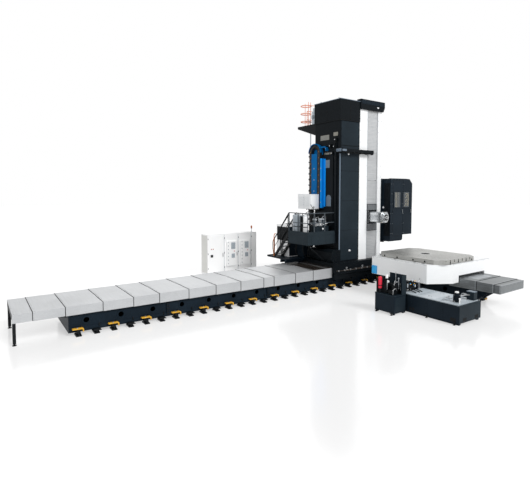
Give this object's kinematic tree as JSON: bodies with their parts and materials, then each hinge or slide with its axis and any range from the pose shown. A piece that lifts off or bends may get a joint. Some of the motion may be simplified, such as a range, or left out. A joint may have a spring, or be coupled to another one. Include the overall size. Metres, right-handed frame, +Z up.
{
  "type": "horizontal boring mill",
  "caption": "Floor type horizontal boring mill with a tall column, ram head, long covered bed, sliding rotary table, tanks and control cabinets.",
  "frame": {"origin": "on the floor below the spindle, on the centre line of the long bed", "axes": "+X along the long bed, spindle and ram point to -Y towards the table, +Z up"},
  "size_m": [21.0103, 14.83, 10.28],
  "materials": {
    "cast_paint_dark": "satin",
    "column_paint_black": "satin",
    "pillar_paint_white": "satin",
    "bracket_paint_yellow": "satin",
    "way_steel": "ground",
    "cover_stainless": "brushed",
    "frame_paint_black": "matte",
    "apron_steel": "brushed",
    "ram_steel": "ground",
    "table_iron": "machined",
    "cover_dark_steel": "rolled",
    "cage_paint_red": "satin",
    "channel_paint_blue": "gloss",
    "chain_nylon": "matte",
    "magazine_paint_dark": "satin",
    "window_glass": "clear",
    "unit_paint_grey": "satin"
  },
  "bodies": {
    "machine": {"access_ladder": "frame_paint_black", "accumulators": "unit_paint_grey", "anchor_brackets": "bracket_paint_yellow", "apron_fixed_plates": "apron_steel", "bed_castings_inner": "cast_paint_dark", "bed_castings_outer": "cast_paint_dark", "cabinet_coolers": "unit_paint_grey", "cable_arm": "column_paint_black", "cable_channels": "channel_paint_blue", "chip_tank": "magazine_paint_dark", "column_body": "column_paint_black", "column_cap": "column_paint_black", "column_saddle": "cast_paint_dark", "control_cabinets": "pillar_paint_white", "coolant_pumps": "unit_paint_grey", "cover_end_stands": "frame_paint_black", "energy_chain": "chain_nylon", "feed_drive_housing": "column_paint_black", "gas_cylinders": "unit_paint_grey", "guide_pillars": "pillar_paint_white", "guideways": "way_steel", "hydraulic_panel": "magazine_paint_dark", "hydraulic_tank": "magazine_paint_dark", "ladder_cage": "cage_paint_red", "left_way_covers": "cover_stainless", "levelling_feet": "cast_paint_dark", "lift_motor": "column_paint_black", "magazine_windows": "window_glass", "platform_railing": "frame_paint_black", "platform_stair": "frame_paint_black", "power_pack": "unit_paint_grey", "rear_console": "cast_paint_dark", "right_way_covers": "cover_stainless", "saddle_skirts": "column_paint_black", "service_platform": "frame_paint_black", "signal_lamp": "cage_paint_red", "spindle_chiller": "unit_paint_grey", "table_bed": "cast_paint_dark", "table_covers_fixed": "cover_dark_steel", "tank_lid": "unit_paint_grey", "terminal_box": "pillar_paint_white", "tool_magazine": "magazine_paint_dark", "top_beam": "column_paint_black", "top_platform": "frame_paint_black"},
    "head": {"head_slide": "column_paint_black", "apron_head_plates": "apron_steel"},
    "apron_upper": {"apron_upper_plate": "apron_steel"},
    "apron_lower_1": {"apron_lower_plate_1": "apron_steel"},
    "apron_lower_2": {"apron_lower_plate_2": "apron_steel"},
    "apron_lower_3": {"apron_lower_plate_3": "apron_steel"},
    "ram": {"ram": "ram_steel"},
    "milling_spindle": {"milling_spindle": "ram_steel"},
    "boring_spindle": {"boring_spindle": "ram_steel"},
    "table_slide": {"table_slide": "cast_paint_dark", "table_guard": "pillar_paint_white", "table_covers_moving": "cover_dark_steel"},
    "near_cover": {"table_cover_near": "cover_dark_steel"},
    "far_cover": {"table_cover_far": "cover_dark_steel"},
    "table": {"table_plate": "table_iron"}
  },
  "joints": [
    {"name": "head_height", "type": "slide", "parent": "machine", "child": "head", "axis": [0, 0, 1], "range_m": [-0.6, 2.7]},
    {"name": "apron_upper_rise", "type": "slide", "parent": "machine", "child": "apron_upper", "axis": [0, 0, 1], "range_m": [-0.3, 1.35]},
    {"name": "apron_lower_1_rise", "type": "slide", "parent": "machine", "child": "apron_lower_1", "axis": [0, 0, 1], "range_m": [-0.45, 2.025]},
    {"name": "apron_lower_2_rise", "type": "slide", "parent": "machine", "child": "apron_lower_2", "axis": [0, 0, 1], "range_m": [-0.3, 1.35]},
    {"name": "apron_lower_3_rise", "type": "slide", "parent": "machine", "child": "apron_lower_3", "axis": [0, 0, 1], "range_m": [-0.15, 0.675]},
    {"name": "ram_reach", "type": "slide", "parent": "head", "child": "ram", "axis": [0, -1, 0], "range_m": [-0.75, 0.7]},
    {"name": "spindle_spin", "type": "hinge", "parent": "ram", "child": "milling_spindle", "pos_m": [0, -2.14, 3.72], "axis": [0, -1, 0], "continuous": true},
    {"name": "spindle_feed", "type": "slide", "parent": "milling_spindle", "child": "boring_spindle", "axis": [0, -1, 0], "range_m": [0, 0.9]},
    {"name": "table_travel", "type": "slide", "parent": "machine", "child": "table_slide", "axis": [0, -1, 0], "range_m": [-0.55, 0.8]},
    {"name": "near_cover_travel", "type": "slide", "parent": "machine", "child": "near_cover", "axis": [0, -1, 0], "range_m": [-0.143, 0.208]},
    {"name": "far_cover_travel", "type": "slide", "parent": "machine", "child": "far_cover", "axis": [0, -1, 0], "range_m": [-0.275, 0.4]},
    {"name": "table_turn", "type": "hinge", "parent": "table_slide", "child": "table", "pos_m": [0, -4.63, 2.05], "axis": [0, 0, 1], "continuous": true}
  ],
  "couplings": [
    {"joint": "apron_upper_rise", "follows": "head_height", "ratio": 0.5},
    {"joint": "apron_lower_1_rise", "follows": "head_height", "ratio": 0.75},
    {"joint": "apron_lower_2_rise", "follows": "head_height", "ratio": 0.5},
    {"joint": "apron_lower_3_rise", "follows": "head_height", "ratio": 0.25},
    {"joint": "near_cover_travel", "follows": "table_travel", "ratio": 0.26},
    {"joint": "far_cover_travel", "follows": "table_travel", "ratio": 0.5}
  ]
}
